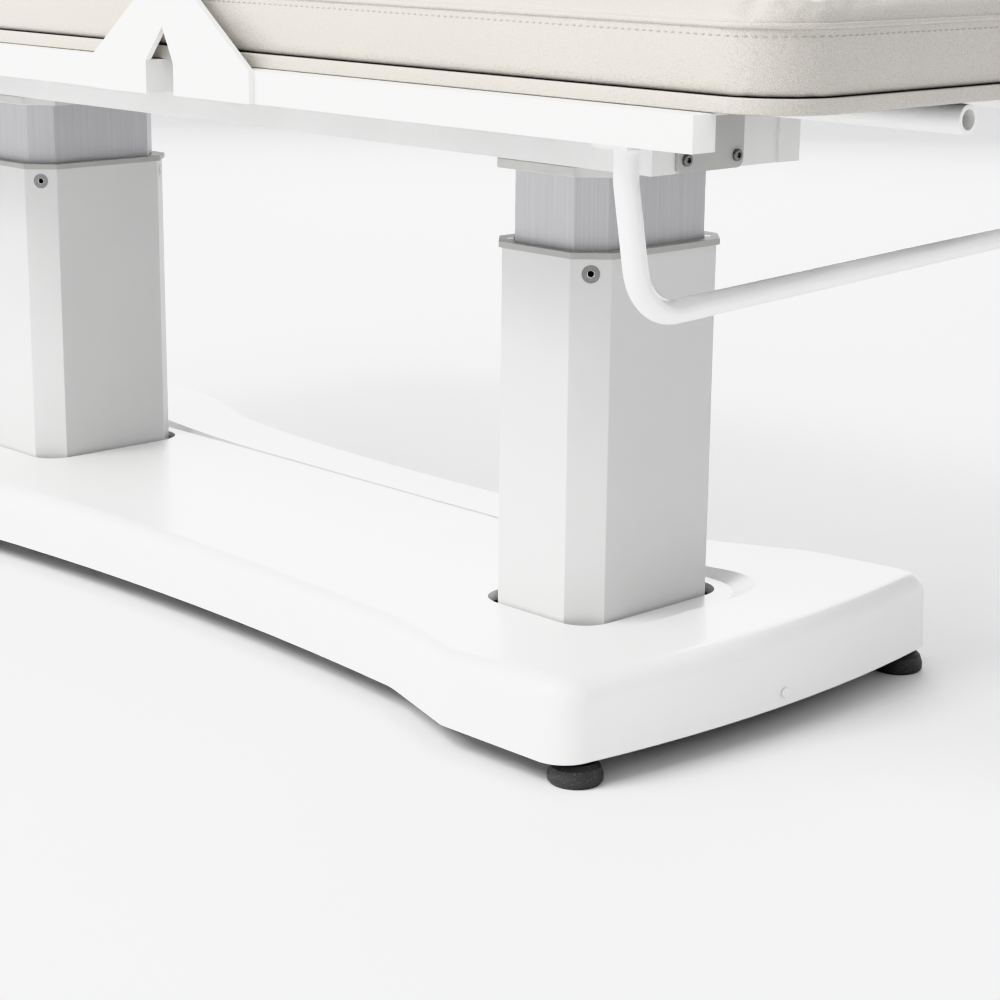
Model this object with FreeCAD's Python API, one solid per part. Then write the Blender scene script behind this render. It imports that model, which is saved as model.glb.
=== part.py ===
import FreeCAD, Part
import math
import os

os.makedirs("parts", exist_ok=True)
V = FreeCAD.Vector

# Electric massage table in millimetres: +X is the head end, +Y the left side, +Z up.
# The floor is at Z = 0 and the middle of the base at X = Y = 0.

# Base: steel chassis on four levelling feet, under a moulded cover with a waist.
chassis_z = (30.0, 58.0)
chassis_wall = 3.0
rail_y = (95.0, 145.0)
cross_x = (612.0, 652.0)
cross_end_y = 236.0
foot_x = 647.0
foot_y = 233.4
foot_radius = 25.0
foot_height = 20.0
rest_x = 300.0
stud_radius = 6.0
cover_bottom_z = 24.0
cover_wall = 3.5
cover_end_x = 687.0
cover_end_radius = 1485.0
cover_side_y = 269.0
cover_waist_y = 211.0
cover_draft = 2.5
cover_loft_z = 110.0
cover_rim_radius = 20.0
shoulder_outer = (510.0, 269.0)
shoulder_inner = (400.0, 233.0)
shoulder_radii = (26.0, 90.0)
cover_corner = 32.0
cover_top_points = [(0, 85.5), (200, 85.6), (330, 86.5), (430, 89),
                    (520, 93), (600, 97), (660, 99), (720, 100)]
recess_floor_z = 84.0
cover_screw_z = 37.0
inlet_z = 56.0
inlet_half = (20.7, 10.7)

# Columns: two telescopic lifts with chamfered rectangular tubes.
column_x = 453.3
column_plate_thick = 12.0
column_bolt_x = 70.0
outer_size = (145.4, 200.0)
outer_chamfer = 27.4
outer_wall = 5.0
outer_length = 364.0
inner_step = (10.95, 10.45)
inner_size = (outer_size[0] - 2 * inner_step[0], outer_size[1] - 2 * inner_step[1])
inner_chamfer = outer_chamfer - 4.6
inner_wall = 4.0
inner_length = 354.0
inner_shown = 75.0
slide_gap = 0.05
collar_size = (outer_size[0] + 5.6, outer_size[1] + 4.2)
collar_thick = 5.8
collar_screw = (outer_size[0] / 2 - 17.4, outer_size[1] / 2 - 20.7)
plate_size = (outer_size[0] + 9.9, outer_size[1] + 5.3)
plate_thick = 9.6
plate_bolt = (40.0, 45.0)
screw_port = (inner_size[0] / 2 - 15.75, inner_size[1] / 2 - 20.55)
port_radius = 8.0
opening_gap = 3.6
opening_corner = 33.0
opening_half = (outer_size[0] / 2 + opening_gap, outer_size[1] / 2 + opening_gap)
opening_lip = 2.5
journal_radius = 8.0
spindle_radius = 9.0
outer_foot_z = chassis_z[1] + column_plate_thick
outer_top_z = outer_foot_z + outer_length
plate_z = outer_top_z + inner_shown
inner_foot_z = plate_z - inner_length

# Lifting frame on the columns and the three upholstered sections above it.
frame_z = (plate_z + plate_thick, plate_z + plate_thick + 60.0)
frame_end_x = 599.0
frame_cap = 3.0
beam_width = 30.0
beam_y = (plate_size[1] / 2 - 0.65 - beam_width, plate_size[1] / 2 - 0.65)
bar_z = (frame_z[0] + 2.4, frame_z[0] + 18.4)
drive_bars_x = (-185.0, -60.0, 110.0)
box_bars_x = (-384.0, -540.0)
bumper_x = 557.5
bracket_y = (0.3 - beam_y[0], 18.0)
bracket_screw_y = (bracket_y[0] + 11.7, bracket_y[1] - 10.0)
bracket_screw_z = frame_z[0] + 11.9
section_z = (frame_z[1] + 2.0, frame_z[1] + 30.0)
panel_z = (section_z[1] + 0.4, section_z[1] + 12.4)
pad_z = (panel_z[1] + 0.3, panel_z[1] + 76.0)
table_end_x = 950.0
pad_half_y = 352.0
pad_corner = 70.0
pad_rim = 20.0
seat_tube_y = (pad_half_y - 17.0, pad_half_y + 8.0)
wing_tube_y = (pad_half_y - 10.0, pad_half_y + 15.0)
cross_half = 12.5
seat_cross_x = (-222.0, -60.0, 120.0)
wing_end_x = table_end_x - 70.0
hinge_cross = 37.5
arm_thick = 6.0
arm_reach = 122.0
seat_arm_end = 38.0
wing_arm_end = 14.0
pivot_z = pad_z[1] - 15.0
back_pivot_x = 252.0
leg_pivot_x = -300.0
pin_radius = 6.0
face_to_end = 150.0
face_x = table_end_x - face_to_end
face_half = (110.0, 68.0)
face_corner = 60.0
head_cross_x = face_x - face_half[0] - 10.0
cradle_y = 110.0
cradle_bore = 8.2
cradle_outer = 12.0

# Drives: each rod pushes a slotted lug that hangs below its pivot.
rod_z = bar_z[1] + 20.0
rod_radius = 10.0
rod_length = 200.0
back_swing = 60.0
leg_swing = 35.0
back_drive_y = 30.0
leg_drive_y = -30.0
back_drive_length = 300.0
leg_drive_length = 288.0
back_slot_gap = 3.2
leg_slot_gap = 1.2
lug_thick = 10.0
lug_rim = 7.0
fork_front = 28.0
fork_back = 36.0

# Paper-roll bar under the head end, which hangs a little lower on the right.
holder_x = 775.0
holder_radius = 10.0
holder_wall = 1.5
holder_bend = 46.0
socket_width = 37.0
socket_y = wing_tube_y[0] - 19.0
socket_z = section_z[0] - 6.6
knob_z = section_z[1] - 18.6
right_bend = (socket_y - 20.5, section_z[0] - 141.7)
left_bend = (socket_y - 24.6, section_z[0] - 117.4)
right_knee_z = section_z[0] - 32.6
left_knee_z = section_z[0] - 10.6


def box(x0, x1, y0, y1, z0, z1):
    return Part.makeBox(x1 - x0, y1 - y0, z1 - z0, V(x0, y0, z0))


def rod(radius, start, end):
    along = end.sub(start)
    return Part.makeCylinder(radius, along.Length, start, along)


def post(radius, x, y, z0, z1):
    return rod(radius, V(x, y, z0), V(x, y, z1))


def fuse(shapes):
    shapes = list(shapes)
    return shapes[0].multiFuse(shapes[1:]).removeSplitter() if len(shapes) > 1 else shapes[0]


def moved(shape, x=0, y=0, z=0):
    copy = shape.copy()
    copy.translate(V(x, y, z))
    return copy


def four(x, y):
    return [(sx * x, sy * y) for sx in (1, -1) for sy in (1, -1)]


def prism(points, along):
    """The flat outline through some points, pushed along a direction."""
    return Part.Face(Part.makePolygon(points + points[:1])).extrude(along)


def hexagon(centre, reach, side, other):
    turns = [math.radians(a) for a in range(0, 360, 60)]
    return [centre + side * (reach * math.cos(a)) + other * (reach * math.sin(a)) for a in turns]


def vertical_edges(shape):
    found = []
    for edge in shape.Edges:
        low, high = edge.Vertexes[0].Point, edge.Vertexes[-1].Point
        if abs(low.z - high.z) > 0.9 * edge.Length:
            found.append(edge)
    return found


def rounded_plate(x0, x1, y0, y1, z0, z1, radius):
    plate = box(x0, x1, y0, y1, z0, z1)
    return plate.makeFillet(radius, vertical_edges(plate))


def chamfered_prism(size, chamfer, z0, z1):
    """A rectangle with cut corners, extruded upwards."""
    hx, hy, c = size[0] / 2, size[1] / 2, chamfer
    corners = [(hx, hy - c), (hx - c, hy), (c - hx, hy), (-hx, hy - c),
               (-hx, c - hy), (c - hx, -hy), (hx - c, -hy), (hx, c - hy)]
    return prism([V(x, y, z0) for x, y in corners], V(0, 0, z1 - z0))


def grown(size, chamfer, by):
    """The same outline moved outwards by a distance, or inwards if it is negative."""
    return (size[0] + 2 * by, size[1] + 2 * by), chamfer + by * (2 - math.sqrt(2))


def ring(outer, outer_c, inner, inner_c, z0, z1):
    return chamfered_prism(outer, outer_c, z0, z1).cut(chamfered_prism(inner, inner_c, z0 - 1, z1 + 1))


# Base

def cover_outline(inset, z):
    """Plan of the cover: bowed ends, straight flanks, sloping shoulders and a hollow waist."""
    side = cover_side_y - inset
    end = cover_end_x - inset
    radius = cover_end_radius - inset
    corner_x = end - radius + math.sqrt(radius ** 2 - side ** 2)
    outer = shoulder_outer[0]
    inner_x, inner_y = shoulder_inner[0], shoulder_inner[1] - inset
    waist = cover_waist_y - inset
    edges = [Part.Arc(V(corner_x, -side, z), V(end, 0, z), V(corner_x, side, z)).toShape(),
             Part.makeLine(V(corner_x, side, z), V(outer, side, z)),
             Part.makeLine(V(outer, side, z), V(inner_x, inner_y, z)),
             Part.Arc(V(inner_x, inner_y, z), V(0, waist, z), V(-inner_x, inner_y, z)).toShape(),
             Part.makeLine(V(-inner_x, inner_y, z), V(-outer, side, z)),
             Part.makeLine(V(-outer, side, z), V(-corner_x, side, z)),
             Part.Arc(V(-corner_x, side, z), V(-end, 0, z), V(-corner_x, -side, z)).toShape(),
             Part.makeLine(V(-corner_x, -side, z), V(-outer, -side, z)),
             Part.makeLine(V(-outer, -side, z), V(-inner_x, -inner_y, z)),
             Part.Arc(V(-inner_x, -inner_y, z), V(0, -waist, z), V(inner_x, -inner_y, z)).toShape(),
             Part.makeLine(V(inner_x, -inner_y, z), V(outer, -side, z)),
             Part.makeLine(V(outer, -side, z), V(corner_x, -side, z))]
    return Part.Wire(edges)


def above_cover(drop):
    """Everything above the crowned top, which rises from the waist to both ends."""
    half_y, high_z = 1.5 * cover_side_y, 1.8 * cover_loft_z
    mirrored = [(-x, z) for x, z in reversed(cover_top_points[1:])] + cover_top_points
    curve = Part.BSplineCurve()
    curve.interpolate([V(x, -half_y, z - drop) for x, z in mirrored])
    left, right = mirrored[0], mirrored[-1]
    sides = [Part.makeLine(V(right[0], -half_y, right[1] - drop), V(right[0], -half_y, high_z)),
             Part.makeLine(V(right[0], -half_y, high_z), V(left[0], -half_y, high_z)),
             Part.makeLine(V(left[0], -half_y, high_z), V(left[0], -half_y, left[1] - drop))]
    return Part.Face(Part.Wire([curve.toShape()] + sides)).extrude(V(0, 2 * half_y, 0))


def same_place(edges, others):
    return [e for e in edges if any(e.CenterOfMass.distanceToPoint(o.CenterOfMass) < 0.5 for o in others)]


def cover_body(inset, bottom, rim_radius):
    """Solid shape of the cover: lofted outline, rounded corners and a rounded rim."""
    top = cover_loft_z
    body = Part.makeLoft([cover_outline(inset, bottom), cover_outline(inset + cover_draft, top)], True, True)
    upright = [e for e in body.Edges if abs(e.BoundBox.ZLength - (top - bottom)) < 0.1]
    far, near = (shoulder_outer[0] + cover_end_x) / 2, (shoulder_outer[0] + shoulder_inner[0]) / 2
    corners = [e for e in upright if abs(e.CenterOfMass.x) > far]
    outer = [e for e in upright if near < abs(e.CenterOfMass.x) < far]
    inner = [e for e in upright if abs(e.CenterOfMass.x) < near]
    body = body.makeFillet(cover_corner - inset, corners)
    body = body.makeFillet(shoulder_radii[0] - inset, same_place(body.Edges, outer))
    body = body.makeFillet(shoulder_radii[1], same_place(body.Edges, inner))
    body = body.cut(above_cover(inset))
    rim = [e for e in body.Edges if e.BoundBox.ZMin > recess_floor_z - 9]
    return body.makeFillet(rim_radius, rim)


def recess(grow, z_floor):
    """Shallow sunk panel around the columns, with sloping sides that fade out in the waist."""
    half_x, half_y = column_x + opening_half[0] + 26.4 + grow, opening_half[1] + 14.4 + grow
    spread_x, spread_y = half_x + 36, half_y + 32
    low = rounded_plate(-half_x, half_x, -half_y, half_y, z_floor, z_floor + 1, 60)
    high = rounded_plate(-spread_x, spread_x, -spread_y, spread_y, z_floor + 18, z_floor + 19, 90)
    low_wire = [f for f in low.Faces if f.BoundBox.ZMax < z_floor + 0.1][0].OuterWire
    high_wire = [f for f in high.Faces if f.BoundBox.ZMax < z_floor + 18.1][0].OuterWire
    return Part.makeLoft([low_wire, high_wire], True, True)


def column_hole(x, grow, z0, z1):
    hx, hy = opening_half[0] + grow, opening_half[1] + grow
    return rounded_plate(x - hx, x + hx, -hy, hy, z0, z1, opening_corner + grow)


def base_cover():
    """Open shell with a sunk panel, where a short lip hangs down round each column's opening."""
    skin = cover_body(0, cover_bottom_z, cover_rim_radius)
    hollow = cover_body(cover_wall, cover_bottom_z - 1, cover_rim_radius - cover_wall)
    hollow = hollow.cut(recess(cover_wall, recess_floor_z - cover_wall))
    skin = skin.cut(recess(0, recess_floor_z)).cut(hollow)
    lip_z = (outer_foot_z + 3, recess_floor_z - 1)
    skin = fuse([skin] + [column_hole(x, opening_lip, *lip_z) for x in (column_x, -column_x)])
    for x in (column_x, -column_x):
        skin = skin.cut(column_hole(x, 0, outer_foot_z - 10, cover_loft_z + 10))
    for start, end in cover_screw_axes():
        skin = skin.cut(rod(2.6, start, end))
    hole_y, hole_z = inlet_half[0] + 0.3, inlet_half[1] + 0.3
    return skin.cut(box(-cover_end_x - 13, -cover_end_x + 17, -hole_y, hole_y, inlet_z - hole_z, inlet_z + hole_z))


def cover_screw_axes():
    """Each screw's axis from outside the end wall to inside it."""
    places = [(1, 5), (-1, -80), (-1, 80)]
    return [(V(side * (cover_end_x + 13), y, cover_screw_z), V(side * (cover_end_x - 27), y, cover_screw_z))
            for side, y in places]


def end_face_x(y, z):
    """Outer surface of the bowed, drafted end at one point."""
    bow = cover_end_radius - math.sqrt(cover_end_radius ** 2 - y ** 2)
    return cover_end_x - bow - cover_draft * (z - cover_bottom_z) / (cover_loft_z - cover_bottom_z)


def cover_screws():
    screws = []
    for start, end in cover_screw_axes():
        side = 1 if start.x > 0 else -1
        face = side * (end_face_x(start.y, start.z) + 0.3)
        head = rod(5.0, V(face, start.y, start.z), V(face + side * 2.4, start.y, start.z))
        head = head.makeFillet(1.2, [e for e in head.Edges if abs(e.CenterOfMass.x) > abs(face) + 2])
        shank = rod(2.5, V(face, start.y, start.z), V(face - side * 14, start.y, start.z))
        screws.append(head.fuse(shank))
    return Part.makeCompound(screws)


def base_chassis():
    """Two long rails and two cross members, with sleeves for the feet and tabs for the cover."""
    z0, z1 = chassis_z
    wall = chassis_wall
    solid, hollow = [], []
    for side in (1, -1):
        ya, yb = sorted((side * rail_y[0], side * rail_y[1]))
        solid.append(box(-cross_x[0] - 5, cross_x[0] + 5, ya, yb, z0, z1))
        hollow.append(box(-cross_x[0] - 10, cross_x[0] + 10, ya + wall, yb - wall, z0 + wall, z1 - wall))
        xa, xb = sorted((side * cross_x[0], side * cross_x[1]))
        solid.append(box(xa, xb, -cross_end_y, cross_end_y, z0, z1))
        hollow.append(box(xa + wall, xb - wall, -cross_end_y - 1, cross_end_y + 1, z0 + wall, z1 - wall))
    frame = fuse(solid).cut(fuse(hollow))
    sleeves = [post(13.5, x, y, z0, z1) for x, y in four(foot_x, foot_y)]
    rests = [post(8, x, y, z1 - wall, recess_floor_z - cover_wall - 0.3) for x, y in four(rest_x, rail_y[0] + 10)]
    tabs = []
    for start, end in cover_screw_axes():
        side = 1 if start.x > 0 else -1
        tip = side * (end_face_x(start.y, start.z) - cover_wall - 0.8)
        xa, xb = sorted((side * (cross_x[1] - 2), tip))
        tabs.append(box(xa, xb, start.y - 9, start.y + 9, z0, cover_screw_z + 7))
    frame = fuse([frame] + sleeves + rests + tabs)
    for x, y in four(foot_x, foot_y):
        frame = frame.cut(post(stud_radius + 0.05, x, y, 0, 2 * z1))
    for start, end in cover_screw_axes():
        frame = frame.cut(rod(2.55, start, end))
    for x, y in column_bolt_places():
        frame = frame.cut(post(5.05, x, y, z1 - 5, z1 + 5))
    return frame


def foot_pad():
    """Rubber foot with a rounded shoulder and a blind hole for the stud."""
    r, h = foot_radius, foot_height
    profile = [(0, 0), (r - 2, 0), (r, 2.5), (r, 8), (r - 2.5, h - 4.5), (r - 7, h), (0, h)]
    points = [V(x, 0, z) for x, z in profile]
    pad = Part.Face(Part.makePolygon(points + points[:1])).revolve(V(0, 0, 0), V(0, 0, 1), 360)
    return pad.cut(post(stud_radius + 0.05, 0, 0, h - 11, h + 10))


def foot_stud():
    """Threaded stud with its hexagon just under the chassis."""
    stud = post(stud_radius, 0, 0, foot_height - 10.8, chassis_z[1] + 16)
    corners = hexagon(V(0, 0, foot_height + 1), 10.4, V(1, 0, 0), V(0, 1, 0))
    return stud.fuse(prism(corners, V(0, 0, chassis_z[0] - foot_height - 1.4)))


# Columns, all built about X = 0 and moved to their place at the end

def column_bolt_places():
    middle_y = (rail_y[0] + rail_y[1]) / 2
    return [(x + dx, dy) for x in (column_x, -column_x) for dx, dy in four(column_bolt_x, middle_y)]


def column_plate():
    half_x, half_y = outer_size[0] / 2 + 17.3, outer_size[1] / 2 + 50
    plate = rounded_plate(-half_x, half_x, -half_y, half_y, chassis_z[1], outer_foot_z, 12)
    for x, y in column_bolt_places()[:4]:
        plate = plate.cut(post(5.5, x - column_x, y, chassis_z[1] - 8, outer_foot_z + 10))
    return plate


def hex_bolt(x, y, z, size, across, head, length):
    """Bolt with its head on a face at z and the shank going down."""
    corners = hexagon(V(x, y, z), across / math.sqrt(3), V(1, 0, 0), V(0, 1, 0))
    return prism(corners, V(0, 0, head)).fuse(post(size / 2, x, y, z - length, z))


def column_plate_bolts():
    return Part.makeCompound([hex_bolt(x, y, outer_foot_z, 10, 17, 6.4, 15) for x, y in column_bolt_places()])


def tube_screw_axes():
    """Four countersunk screws, one in the middle of each corner face."""
    hx, hy = outer_size[0] / 2 - outer_chamfer / 2, outer_size[1] / 2 - outer_chamfer / 2
    axes = []
    for x, y in four(hx, hy):
        inward = V(-math.copysign(1, x), -math.copysign(1, y), 0).normalize()
        axes.append((V(x, y, outer_top_z - 14.3), inward))
    return axes


def outside_of(edge, size):
    middle = edge.CenterOfMass
    return abs(middle.x) > size[0] / 2 + 0.5 or abs(middle.y) > size[1] / 2 + 0.5


def outer_tube():
    inside, inside_c = grown(outer_size, outer_chamfer, -outer_wall)
    tube = ring(outer_size, outer_chamfer, inside, inside_c, outer_foot_z, outer_top_z)
    tube = tube.makeFillet(1.2, [e for e in vertical_edges(tube) if outside_of(e, inside)])
    for start, inward in tube_screw_axes():
        tube = tube.cut(Part.makeCone(8.6, 4.2, 4.4, start, inward))
        tube = tube.cut(rod(4.2, start, start + inward * 8))
    return tube


def socket_screw(start, inward, head_radius, head_depth, radius, length):
    """Countersunk screw with a hexagon socket, its face just under the surface."""
    start = start + inward * 0.1
    screw = Part.makeCone(head_radius, radius, head_depth, start, inward)
    screw = screw.fuse(rod(radius, start, start + inward * length))
    return screw.cut(hex_key(start - inward, inward, head_radius * 0.36, 3.4))


def hex_key(start, along, reach, length):
    side = V(0, 0, 1) if abs(along.z) < 0.5 else V(1, 0, 0)
    return prism(hexagon(start, reach, side, along.cross(side)), along * length)


def tube_screws():
    screws = []
    for x in (column_x, -column_x):
        for start, inward in tube_screw_axes():
            screws.append(moved(socket_screw(start, inward, 8.5, 4.4, 4.1, 9.5), x))
    return Part.makeCompound(screws)


def collar():
    """Trim ring on the outer tube, open around the inner one."""
    top = outer_top_z + collar_thick
    hole, hole_c = grown(inner_size, inner_chamfer, 0.8)
    plate = ring(collar_size, outer_chamfer + 0.2, hole, hole_c, outer_top_z, top)
    for x, y in four(*collar_screw):
        plate = plate.cut(Part.makeCone(3.0, 1.6, 1.6, V(x, y, top), V(0, 0, -1)))
        plate = plate.cut(post(1.6, x, y, outer_top_z - 4, top + 10))
    return plate


def collar_screws():
    screws = []
    for column in (column_x, -column_x):
        for x, y in four(*collar_screw):
            face = V(column + x, y, outer_top_z + collar_thick)
            screws.append(socket_screw(face, V(0, 0, -1), 2.8, 1.6, 1.45, 14))
    return Part.makeCompound(screws)


def upper_glide():
    """Plastic ring fixed in the outer tube that the inner tube slides through."""
    outside, outside_c = grown(outer_size, outer_chamfer, -outer_wall - 0.1)
    inside, inside_c = grown(inner_size, inner_chamfer, slide_gap)
    guide = ring(outside, outside_c, inside, inside_c, outer_top_z - 50, outer_top_z)
    for start, inward in tube_screw_axes():
        guide = guide.cut(rod(4.2, start, start + inward * 20))
    for x, y in four(*collar_screw):
        guide = guide.cut(post(1.55, x, y, outer_top_z - 12, outer_top_z + 6))
    return guide


def lower_glide():
    """Plastic ring fixed on the inner tube's foot that slides in the outer tube."""
    outside, outside_c = grown(outer_size, outer_chamfer, -outer_wall - slide_gap)
    inside, inside_c = grown(inner_size, inner_chamfer, 0.1)
    return ring(outside, outside_c, inside, inside_c, inner_foot_z, inner_foot_z + 40)


def inner_tube():
    """Extruded tube with softly rounded corners and a screw port inside each of its cut corners."""
    inside, inside_c = grown(inner_size, inner_chamfer, -inner_wall)
    tube = ring(inner_size, inner_chamfer, inside, inside_c, inner_foot_z, plate_z)
    tube = tube.makeFillet(2, [e for e in vertical_edges(tube) if outside_of(e, inside)])
    tube = fuse([tube] + [post(port_radius, x, y, inner_foot_z, plate_z) for x, y in four(*screw_port)])
    for x, y in four(*screw_port):
        tube = tube.cut(post(3.4, x, y, inner_foot_z - 1, plate_z + 1))
    return tube


def top_plate():
    plate = chamfered_prism(plate_size, outer_chamfer, plate_z, plate_z + plate_thick)
    plate = plate.makeChamfer(0.8, [e for e in plate.Edges if e.BoundBox.ZLength < 0.1])
    for x, y in four(*plate_bolt):
        plate = plate.cut(post(4.05, x, y, plate_z - 9, frame_z[0] + 10))
    return plate


def top_plate_bolts():
    bolts = []
    for x in (column_x, -column_x):
        for dx, dy in four(*plate_bolt):
            bolts.append(hex_bolt(x + dx, dy, frame_z[0] + 8, 8, 13, 5.3, 16))
    return Part.makeCompound(bolts)


def gear_motor():
    """Gearbox with a standing output boss and the motor lying beside it."""
    foot = outer_foot_z
    case = rounded_plate(-33, 33, -30, 56, foot, foot + 54, 8)
    case = case.fuse(post(17, 0, 0, foot + 50, foot + 66))
    motor = rod(24, V(0, -57, foot + 28), V(0, -29, foot + 28))
    case = fuse([case, motor, box(-14, 14, -57, -29, foot, foot + 20)])
    return case.cut(post(journal_radius + 0.05, 0, 0, foot + 46, foot + 70))


def spindle():
    foot = outer_foot_z
    screw = post(journal_radius, 0, 0, foot + 46.2, foot + 70)
    screw = screw.fuse(post(spindle_radius, 0, 0, foot + 66.3, outer_top_z - 4))
    return screw.makeChamfer(1.5, [e for e in screw.Edges if e.BoundBox.ZMin > outer_top_z - 5])


def spindle_nut():
    """Drive nut on a cross plate inside the inner tube."""
    size, chamfer = grown(inner_size, inner_chamfer, -inner_wall - 0.1)
    z0 = inner_foot_z + 60
    plate = chamfered_prism(size, chamfer, z0, z0 + 8)
    for x, y in four(*screw_port):
        plate = plate.cut(post(port_radius + 0.2, x, y, z0 - 5, z0 + 15))
    nut = plate.fuse(post(19, 0, 0, z0, z0 + 28))
    return nut.cut(post(spindle_radius + 0.05, 0, 0, z0 - 5, z0 + 35))


# Lifting frame

def tube_x(x0, x1, y0, y1, z0, z1, wall=2.5):
    """Rectangular tube along X as its outside and its open hollow."""
    return box(x0, x1, y0, y1, z0, z1), box(x0 - 1, x1 + 1, y0 + wall, y1 - wall, z0 + wall, z1 - wall)


def tube_y(x0, x1, y0, y1, z0, z1, wall=2.5):
    """Rectangular tube along Y between two others, hollow to just inside them."""
    return box(x0, x1, y0, y1, z0, z1), box(x0 + wall, x1 - wall, y0 - 4, y1 + 4, z0 + wall, z1 - wall)


def welded(tubes):
    return fuse([t[0] for t in tubes]).cut(fuse([t[1] for t in tubes]))


def lift_frame():
    """Two capped beams with end cross tubes, flat pads on the columns and bars for the drives."""
    z0, z1 = frame_z
    inner_end = frame_end_x - frame_cap
    tubes, caps = [], []
    for side in (1, -1):
        ya, yb = sorted((side * beam_y[0], side * beam_y[1]))
        tubes.append(tube_x(-inner_end, inner_end, ya, yb, z0, z1))
        caps += [box(inner_end, frame_end_x, ya, yb, z0, z1), box(-frame_end_x, -inner_end, ya, yb, z0, z1)]
        xa, xb = sorted((side * (inner_end - 30), side * inner_end))
        tubes.append(tube_y(xa, xb, -beam_y[0], beam_y[0], z0, z1))
    bars = [box(x - 15, x + 15, -beam_y[0], beam_y[0], *bar_z) for x in drive_bars_x]
    bars += [box(x - 9, x + 9, -beam_y[0], beam_y[0], z0, z0 + 16) for x in box_bars_x]
    pads = [box(x - 60, x + 60, -beam_y[0], beam_y[0], z0, z0 + 8) for x in (column_x, -column_x)]
    frame = fuse([welded(tubes)] + caps + bars + pads)
    for x in (column_x, -column_x):
        for dx, dy in four(*plate_bolt):
            frame = frame.cut(post(4.5, x + dx, dy, z0 - 10, z0 + 20))
    for y in bracket_screw_y:
        frame = frame.cut(rod(3.05, V(inner_end - 6, y, bracket_screw_z), V(frame_end_x + 9, y, bracket_screw_z)))
    return frame


def end_bracket():
    x0 = frame_end_x - frame_cap
    plate = box(x0, x0 + 6, *bracket_y, frame_z[0] + 0.3, frame_z[1] - 3.6)
    plate = plate.makeFillet(9, [e for e in plate.Edges if e.BoundBox.XLength > 5])
    for y in bracket_screw_y:
        plate = plate.cut(rod(3.3, V(x0 - 6, y, bracket_screw_z), V(x0 + 14, y, bracket_screw_z)))
    return plate


def end_bracket_screws():
    x0 = frame_end_x - frame_cap + 6
    screws = []
    for y in bracket_screw_y:
        head = rod(5.5, V(x0, y, bracket_screw_z), V(x0 + 3.5, y, bracket_screw_z))
        head = head.makeFillet(1, [e for e in head.Edges if e.BoundBox.XMin > x0 + 3])
        screw = head.fuse(rod(3, V(x0 - 10, y, bracket_screw_z), V(x0, y, bracket_screw_z)))
        screws.append(screw.cut(hex_key(V(x0 + 4, y, bracket_screw_z), V(-1, 0, 0), 2.8, 3)))
    return Part.makeCompound(screws)


def rest_bumpers():
    middle = (beam_y[0] + beam_y[1]) / 2
    return Part.makeCompound([post(9, x, y, frame_z[1], section_z[0] - 0.1) for x, y in four(bumper_x, middle)])


def control_box():
    top = frame_z[1] - 5.6
    case = box(box_bars_x[1] - 10, box_bars_x[0] + 9, -60, 60, frame_z[0] + 16, top)
    case = case.makeFillet(6, vertical_edges(case))
    return case.makeFillet(3, [e for e in case.Edges if e.BoundBox.ZMin > top - 1])


def mains_inlet():
    """Appliance inlet set in the cover's foot end, with a recessed socket and three pins."""
    half_y, half_z = inlet_half
    face = -end_face_x(0, inlet_z - half_z - 4.3) - 0.1
    inlet = box(face - 2.5, face, -half_y - 4.3, half_y + 4.3, inlet_z - half_z - 4.3, inlet_z + half_z + 4.3)
    inlet = inlet.makeFillet(3, [e for e in inlet.Edges if e.BoundBox.XLength > 2])
    inlet = inlet.fuse(box(face, face + 28, -half_y, half_y, inlet_z - half_z, inlet_z + half_z))
    inlet = inlet.cut(box(face - 3, face + 24, -12, 12, inlet_z - 8, inlet_z + 8))
    pins = [box(face + 14, face + 25, y - 1, y + 1, inlet_z + z - 2, inlet_z + z + 2)
            for y, z in ((-7, -2), (7, -2), (0, 3))]
    return fuse([inlet] + pins)


# Sections

def section_frame(x0, x1, side_y, crosses, z0):
    """Two side tubes with closed ends, joined by cross tubes."""
    z1 = section_z[1]
    tubes, caps = [], []
    for side in (1, -1):
        ya, yb = sorted((side * side_y[0], side * side_y[1]))
        tubes.append(tube_x(x0, x1, ya, yb, z0, z1))
        caps += [box(x0, x0 + 3, ya, yb, z0, z1), box(x1 - 3, x1, ya, yb, z0, z1)]
    tubes += [tube_y(x - cross_half, x + cross_half, -side_y[0], side_y[0], z0, z1) for x in crosses]
    return fuse([welded(tubes)] + caps)


def pivot_arms(pivot_x, toward, arm_end, y_inner, z0):
    """Pair of flat hinge arms from the section's tubes up to the pivot beside the pad."""
    near, far = pivot_x + toward * arm_reach, pivot_x + toward * arm_end
    outline = [(near, z0), (far, z0), (far, section_z[1]), (pivot_x - toward * 19, pivot_z - 6),
               (pivot_x + toward * 19, pivot_z + 6), (near, section_z[1])]
    arms = []
    for side in (1, -1):
        y0 = side * y_inner
        start, end = V(pivot_x, y0, pivot_z), V(pivot_x, y0 + side * arm_thick, pivot_z)
        arm = prism([V(x, y0, z) for x, z in outline], V(0, side * arm_thick, 0)).fuse(rod(20, start, end))
        arms.append(arm.cut(rod(pin_radius + 0.05, start - V(0, side * 5, 0), end + V(0, side * 5, 0))))
    return arms


def round_slot(top, bottom, across, radius, thick):
    """Prism with round ends around the line between two centres."""
    points = [top + across * radius, bottom + across * radius, bottom - across * radius, top - across * radius]
    return fuse([prism(points, thick), rod(radius, top, top + thick), rod(radius, bottom, bottom + thick)])


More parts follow.
